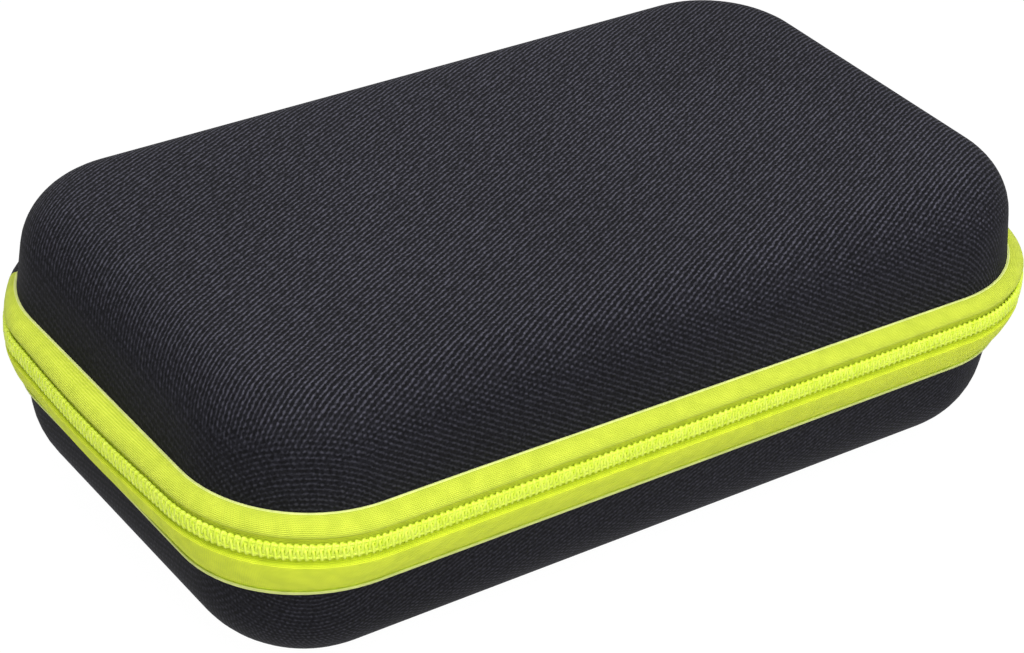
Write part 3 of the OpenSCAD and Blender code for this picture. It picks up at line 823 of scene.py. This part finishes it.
def webbing(name, body, material, box, replaced, along="y", ripple=0.0, ripples=0):
    # a flat ring carried along its box; a gathered band is thinner between its ripples
    band = dict(sides=24, step=1.5 * mm, leastSteps=24, edgeFullness=0.35, faceFullness=0.6)
    low, high = Vector(box[0]), Vector(box[1])
    middle, half = (low + high) / 2, (high - low) / 2
    i, j = (1, 0) if along == "y" else (0, 1)
    steps = max(band["leastSteps"], int((high[i] - low[i]) / band["step"]))
    mesh = bmesh.new()
    across = mesh.verts.layers.float.new("across")
    for vert in bmesh.ops.create_circle(mesh, segments=band["sides"], radius=1)["verts"]:
        side = fuller(round(vert.co.x, 6), band["edgeFullness"]) * half[j]
        up = fuller(round(vert.co.y, 6), band["faceFullness"]) * half.z
        vert.co[i], vert.co[j], vert.co.z = low[i], middle[j] + side, up
        vert[across] = side
    stride = Vector((0, 0, 0))
    stride[i] = (high[i] - low[i]) / steps
    first = mesh.verts[:] + mesh.edges[:]
    made = bmesh.ops.spin(mesh, geom=first, cent=(0, 0, 0), axis=(0, 0, 1), dvec=stride, angle=0, steps=steps)
    closeEnds(mesh, first, made["geom_last"])
    for vert in mesh.verts:
        turn = 2 * math.pi * ripples * (vert.co[i] - low[i]) / (high[i] - low[i])
        vert.co.z = middle.z + vert.co.z * (1 - ripple * 0.5 * (1 + math.cos(turn)))
    finishMesh(name, mesh, body, material, replaced, "plan")


def makeStrapTabs():
    tab = dict(length=6 * mm, stitches=11, rowInset=1.1 * mm, sunk=0.05 * mm,
               stitch=(1.4 * mm, 0.35 * mm, 0.25 * mm))
    low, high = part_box("strap_tabs")
    ends = dict(front=(low[1], low[1] + tab["length"]), rear=(high[1] - tab["length"], high[1]))
    for end, (start, stop) in ends.items():
        webbing("strapTab_" + end, "base", blackTape, ((low[0], start, low[2]), (high[0], stop, high[2])),
                ["strap_tabs"] if end == "front" else [], "x")
        places = []
        for i in range(tab["stitches"]):
            x = low[0] + (high[0] - low[0]) * (i + 0.5) / tab["stitches"]
            for y in (start + tab["rowInset"], stop - tab["rowInset"]):
                places.append((Vector((x, y, high[2] - tab["sunk"])), Vector((1, 0, 0)), Vector((0, 0, 1))))
        stitchRow("strapTabStitches_" + end, "base", places, tab["stitch"])


webbing("shaverStrap", "base", elasticWeb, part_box("shaver_strap"), ["shaver_strap"])
makeStrapTabs()
webbing("pocketHem", "lid", elasticWeb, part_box("pocket_hem"), ["pocket_hem"], "x", ripple=0.3, ripples=90)
print("straps and hem made")


# Net pocket: fine hexagonal net inside a sewn border

def makeNet():
    net = dict(pitch=3.3 * mm, strand=0.95 * mm, thick=0.3 * mm, cornerRadius=18.92 * mm, sideTuck=0.3 * mm,
               hemTuck=0.5 * mm, slack=1.2 * mm, slackY=-13 * mm, slackHalf=41 * mm, leastShare=0.31)
    low, high = (Vector(corner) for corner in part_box("pocket_net"))
    halfX, radius, z = high.x, net["cornerRadius"], (low.z + high.z) / 2
    rowPitch = net["pitch"] * math.sqrt(3) / 2
    mesh = bmesh.new()
    for row in range(int((high.y - low.y) / rowPitch) + 3):
        for column in range(int(2 * halfX / net["pitch"]) + 3):
            x = -halfX + (column + 0.5 * (row % 2)) * net["pitch"]
            y = high.y - row * rowPitch
            pastCorner = math.hypot(max(0, abs(x) - halfX + radius), max(0, low.y - y + radius))
            if pastCorner <= radius + net["sideTuck"] and y <= high.y + net["hemTuck"]:
                bmesh.ops.create_circle(mesh, cap_ends=True, segments=6, radius=net["pitch"] / math.sqrt(3),
                                        matrix=Matrix.Translation((x, y, z)))
    holes = mesh.faces[:]
    bmesh.ops.inset_individual(mesh, faces=holes, thickness=net["strand"] / 2, use_even_offset=True)
    bmesh.ops.delete(mesh, geom=holes, context="FACES_ONLY")
    threadArea = sum(face.calc_area() for face in mesh.faces)
    for vert in mesh.verts:  # a slight slack in the middle
        share = max(0, 1 - (vert.co.x / halfX) ** 2)
        share *= max(0, 1 - ((vert.co.y - net["slackY"]) / net["slackHalf"]) ** 2)
        vert.co.z -= net["slack"] * share
    piece = finishMesh("pocketNet", mesh, "lid", netThread, ["pocket_net"], "plan")
    thicken(piece, net["thick"], 0)


def makeBorder():
    border = dict(inner=18.7 * mm, low=10.0 * mm, thick=0.9 * mm, bevel=(0.25 * mm, 0.2 * mm), endY=27 * mm,
                  wallGap=0.05 * mm, stitchInset=1.6 * mm, stitchSunk=0.02 * mm, stitchPitch=3 * mm,
                  stitchEnd=1 * mm, stitch=(1.8 * mm, 0.4 * mm, 0.3 * mm))
    route = (0, 0, [("run", 0, -(centreY + border["endY"])), ("turn", 3, -90), ("run", -2 * centreX, 0),
                    ("turn", 2, -90), ("run", 0, centreY + border["endY"])], (0, border["endY"] - centreY))
    inner, low, high = border["inner"], border["low"], border["low"] + border["thick"]
    bevelX, bevelZ = border["bevel"]

    def outer(z):
        return wallAt(lidForm, layers["wall"], z) - border["wallGap"]

    section = [(inner, low + bevelZ), (inner + bevelX, low), (outer(low), low),
               (outer(high), high), (inner + bevelX, high), (inner, high - bevelZ)]
    mesh = bmesh.new()
    closeEnds(mesh, *sweep(mesh, section, lidForm, route, closed=True))
    finishMesh("pocketBorder", mesh, "lid", blackTape, ["pocket_border"])
    places = ringPlaces(inner + border["stitchInset"], plan["parting"] + low - border["stitchSunk"],
                        border["stitchPitch"], (-1, 0), border["endY"] - border["stitchEnd"])
    stitchRow("pocketBorderStitches", "lid", places, border["stitch"])


makeNet()
makeBorder()
print("net pocket made")


# Sliders, pulls and grips keep their CAD shapes

for side in ("front", "rear"):
    for kind, material in (("_slider", enamel), ("_pull", enamel), ("_grip", rubber)):
        nodes[side + kind].data.materials.clear()
        nodes[side + kind].data.materials.append(material)
print("sliders finished")


# Studio: pale floor, soft light, and the camera at the photograph's angle

def makeStage():
    stage = dict(size=6, floorShade=0.6, shadowShare=0.06, glow=1.05)
    mesh = bmesh.new()
    bmesh.ops.create_grid(mesh, x_segments=1, y_segments=1, size=stage["size"] / 2)
    data = bpy.data.meshes.new("floor")
    mesh.to_mesh(data)
    mesh.free()
    floor = bpy.data.objects.new("floor", data)
    bpy.context.scene.collection.objects.link(floor)
    finish = Finish("paleFloor", grey(stage["floorShade"]), 0.9, Specular_IOR_Level=0.1)
    rays = finish.add("LightPath")  # the camera sees white, and a share of the shadow
    seen = finish.math("MAXIMUM", rays.outputs["Is Camera Ray"], rays.outputs["Is Glossy Ray"])
    seen = finish.math("MULTIPLY", seen, 1 - stage["shadowShare"])
    glow = finish.add("Emission", {"Color": (1, 1, 1, 1), "Strength": stage["glow"]})
    both = finish.add("MixShader", {0: seen, 1: finish.shader.outputs[0], 2: glow.outputs[0]})
    finish.links.new(both.outputs[0], finish.nodes["Material Output"].inputs["Surface"])
    data.materials.append(finish.material)


def makeLight(name, place, aim, size, power):
    lamp = bpy.data.lights.new(name, "AREA")
    lamp.shape = "RECTANGLE"
    lamp.size, lamp.size_y = size
    lamp.energy = power
    light = bpy.data.objects.new(name, lamp)
    light.location = place
    light.rotation_euler = (Vector(aim) - Vector(place)).to_track_quat("-Z", "Y").to_euler()
    bpy.context.scene.collection.objects.link(light)


def makeWorld():
    ambient = 0.38  # what lights the case; the camera sees full white
    world = bpy.data.worlds.new("studio")
    bpy.context.scene.world = world
    world.use_nodes = True
    tree = world.node_tree
    back = tree.nodes["Background"]
    rays = tree.nodes.new("ShaderNodeLightPath")
    level = tree.nodes.new("ShaderNodeMath")
    level.operation = "MULTIPLY_ADD"
    level.inputs[1].default_value = 1 - ambient
    level.inputs[2].default_value = ambient
    tree.links.new(rays.outputs["Is Camera Ray"], level.inputs[0])
    tree.links.new(level.outputs[0], back.inputs["Strength"])
    back.inputs["Color"].default_value = (1, 1, 1, 1)


def makeCamera():
    view = dict(azimuth=-36.81, elevation=32.16, roll=3.72, distance=0.75085, aimHeight=0.039,
                focalPixels=3087.5, centrePixel=(522.2, 298.05), frame=(1024, 653), sensor=36)
    width, height = view["frame"]
    a, e, r = (math.radians(view[k]) for k in ("azimuth", "elevation", "roll"))
    back = Vector((math.sin(a) * math.cos(e), -math.cos(a) * math.cos(e), math.sin(e)))
    right = Vector((math.cos(a), math.sin(a), 0))
    up = back.cross(right)
    turnedRight = right * math.cos(r) + up * math.sin(r)
    turnedUp = up * math.cos(r) - right * math.sin(r)
    data = bpy.data.cameras.new("camera")
    data.sensor_width = view["sensor"]
    data.lens = view["focalPixels"] / width * view["sensor"]
    data.shift_x = (width / 2 - view["centrePixel"][0]) / width
    data.shift_y = (view["centrePixel"][1] - height / 2) / width
    data.clip_start, data.clip_end = 0.05, 20
    camera = bpy.data.objects.new("camera", data)
    place = Vector((0, 0, view["aimHeight"])) + back * view["distance"]
    turned = Matrix((turnedRight, turnedUp, back)).transposed().to_4x4()
    camera.matrix_world = Matrix.Translation(place) @ turned
    bpy.context.scene.collection.objects.link(camera)
    bpy.context.scene.camera = camera


makeStage()
makeLight("overhead", (-0.15, -0.35, 1.2), (0, 0, 0.04), (1.1, 0.9), 10.6)
makeLight("front", (-0.4, -1.15, 1.15), (0, 0, 0.03), (0.9, 0.9), 11.5)
makeLight("rear", (0.4, 1.0, 0.75), (0, 0, 0.07), (1.0, 0.6), 3)
makeWorld()
makeCamera()
bpy.context.scene.view_settings.view_transform = "Standard"
print("studio made")
